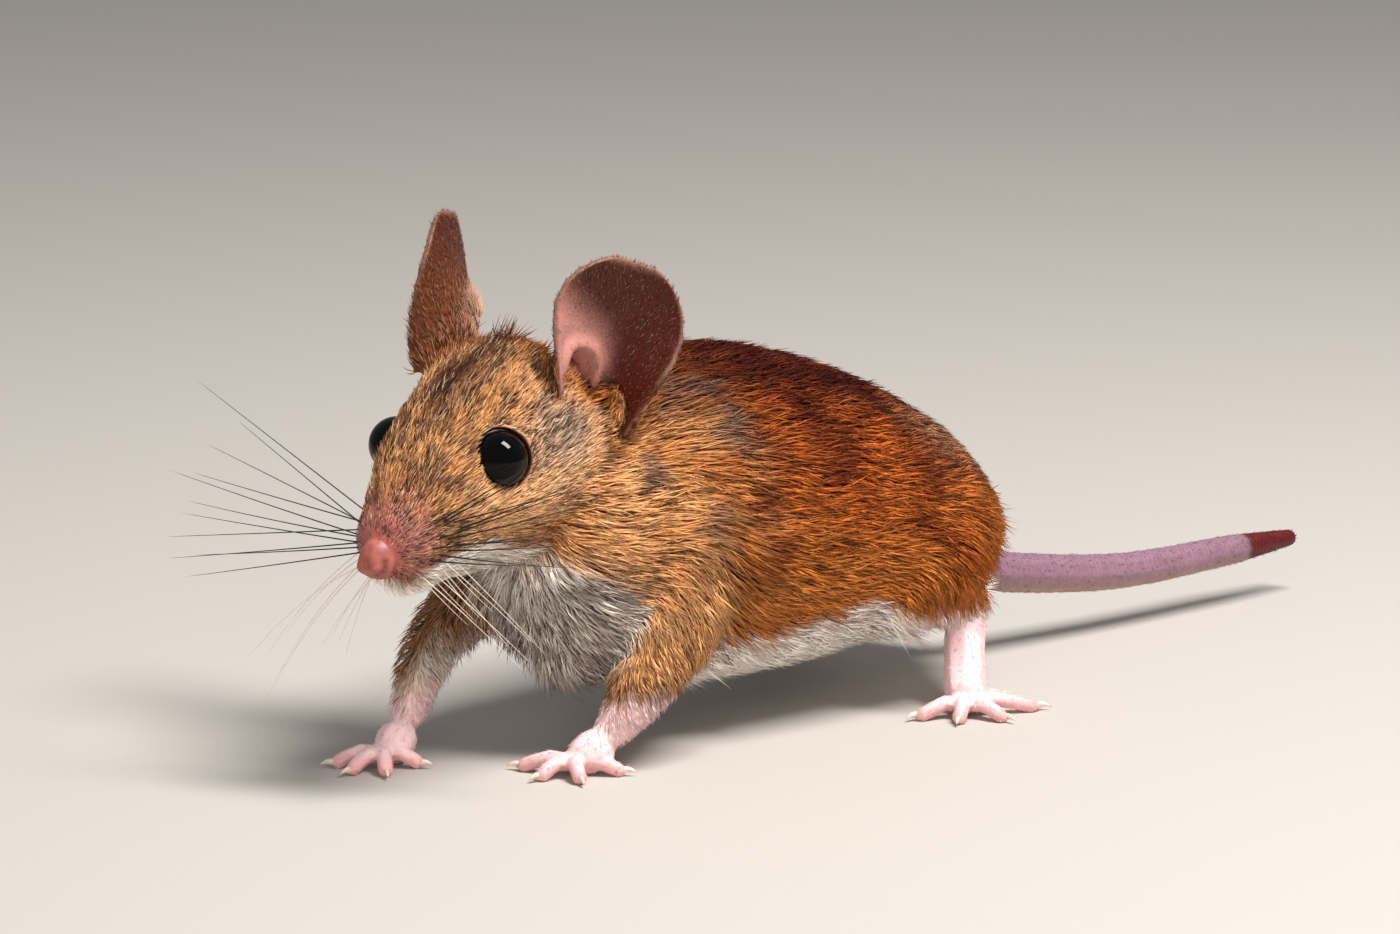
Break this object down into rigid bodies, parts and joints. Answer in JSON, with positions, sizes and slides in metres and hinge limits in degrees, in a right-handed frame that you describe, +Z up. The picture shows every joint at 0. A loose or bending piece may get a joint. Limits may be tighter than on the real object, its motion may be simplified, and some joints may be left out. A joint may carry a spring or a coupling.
{
  "type": "wood mouse",
  "caption": "Still, life-size wood mouse standing on its four feet with the head low and turned to its left, large ears, round dark eyes and a short tail.",
  "frame": {"origin": "middle of the underside of the bounding box, on the floor between the four feet and the tail", "axes": "+Z up, -X ahead to the nose, -Y to the animal's left"},
  "size_m": [0.131, 0.0468, 0.0525],
  "materials": {
    "coat": "short tawny fur, rust on the back, grey-white underneath",
    "ear_skin": "thin dark brown skin with short hairs, pink inside the root",
    "foot_skin": "bare pink skin, slightly moist",
    "tail_skin": "ringed lilac-pink skin",
    "tail_raw_tip": "raw dark red end",
    "eye": "wet gloss black",
    "claw": "pale horn"
  },
  "bodies": {
    "root": {"head": "coat", "neck": "coat", "trunk": "coat", "foreleg_left": "coat", "foreleg_right": "coat", "hindleg_left": "coat", "hindleg_right": "coat", "ear_left": "ear_skin", "ear_right": "ear_skin", "eye_left": "eye", "eye_right": "eye", "forefoot_left": "foot_skin", "forefoot_right": "foot_skin", "hindfoot_left": "foot_skin", "hindfoot_right": "foot_skin", "claw_fore_left_1": "claw", "claw_fore_left_2": "claw", "claw_fore_left_3": "claw", "claw_fore_left_4": "claw", "claw_fore_right_1": "claw", "claw_fore_right_2": "claw", "claw_fore_right_3": "claw", "claw_fore_right_4": "claw", "claw_hind_left_1": "claw", "claw_hind_left_2": "claw", "claw_hind_left_3": "claw", "claw_hind_left_4": "claw", "claw_hind_left_5": "claw", "claw_hind_right_1": "claw", "claw_hind_right_2": "claw", "claw_hind_right_3": "claw", "claw_hind_right_4": "claw", "claw_hind_right_5": "claw", "tail_root": "tail_skin", "tail_end": "tail_skin", "tail_tip": "tail_raw_tip"}
  },
  "joints": []
}
